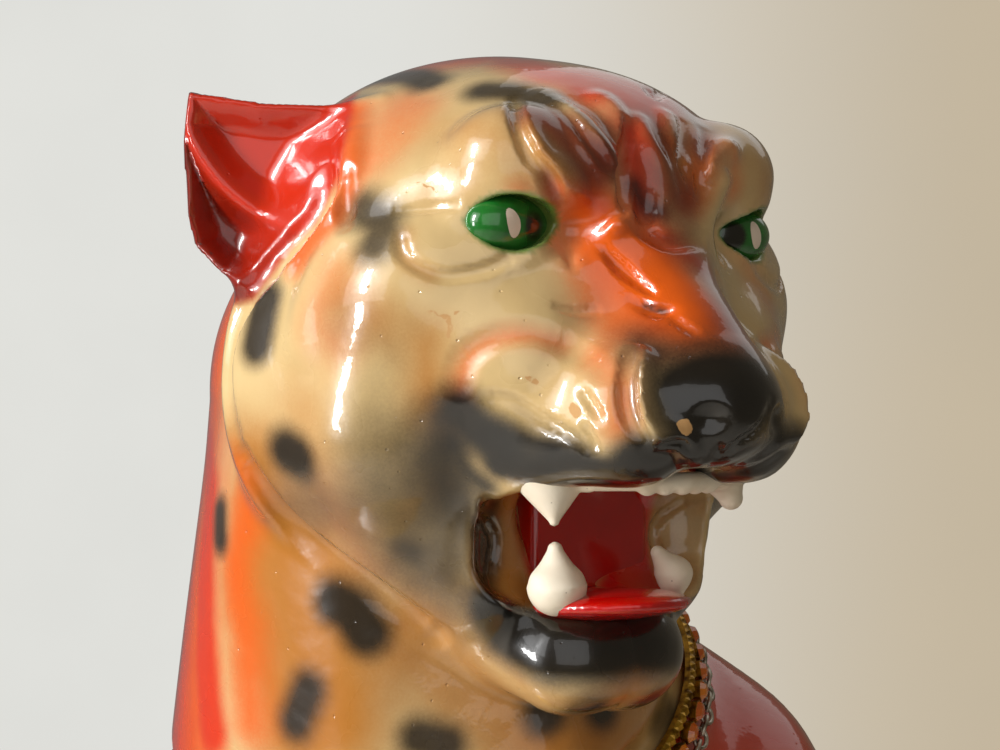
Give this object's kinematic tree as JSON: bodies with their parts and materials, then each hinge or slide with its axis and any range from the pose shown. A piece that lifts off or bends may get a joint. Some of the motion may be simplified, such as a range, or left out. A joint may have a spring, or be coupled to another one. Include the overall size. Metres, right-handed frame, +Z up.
{
  "type": "leopard figurine",
  "caption": "Seated leopard ornament in glazed earthenware, head turned and mouth open, with a jewelled metal collar that turns on the neck.",
  "frame": {"origin": "middle of the figurine's footprint, at floor level under the felt pads", "axes": "+Z up, -Y where the chest and forepaws face, +X to the leopard's left, the side its head is turned to"},
  "size_m": [0.3338, 0.4122, 0.6234],
  "materials": {
    "body_glaze": "gloss",
    "face_glaze": "gloss",
    "ear_glaze": "gloss",
    "eye_glaze": "gloss",
    "mouth_glaze": "gloss",
    "tooth_paint": "matt",
    "felt": "matt",
    "gold_plate": "worn gloss",
    "silver_plate": "worn",
    "cut_stone": "gloss"
  },
  "bodies": {
    "figure": {"head": "face_glaze", "ear_right": "ear_glaze", "ear_left": "ear_glaze", "eye_right": "eye_glaze", "eye_left": "eye_glaze", "upper_canine_right": "tooth_paint", "upper_canine_left": "tooth_paint", "lower_canine_right": "tooth_paint", "lower_canine_left": "tooth_paint", "upper_incisors": "tooth_paint", "tongue": "mouth_glaze", "torso": "body_glaze", "foreleg_left": "body_glaze", "foreleg_right": "body_glaze", "tail": "body_glaze", "felt_pad_front_left": "felt", "felt_pad_front_right": "felt", "felt_pad_rear_left": "felt", "felt_pad_rear_right": "felt"},
    "collar": {"collar_strip": "gold_plate", "stone_row": "cut_stone", "collar_chain": "silver_plate", "end_bar_left": "gold_plate", "end_bar_right": "gold_plate", "clasp_plate": "gold_plate", "clasp_pin": "silver_plate"},
    "lever": {"clasp_lever": "gold_plate"}
  },
  "joints": [
    {"name": "collar_turn", "type": "hinge", "parent": "figure", "child": "collar", "pos_m": [-0.03259, -0.0522, 0.447], "axis": [0, -0.5592, 0.829], "continuous": true},
    {"name": "clasp_lever_hinge", "type": "hinge", "parent": "collar", "child": "lever", "pos_m": [-0.02366, 0.01326, 0.49115], "axis": [0, 0.5592, -0.829], "range_deg": [0, 110]}
  ]
}
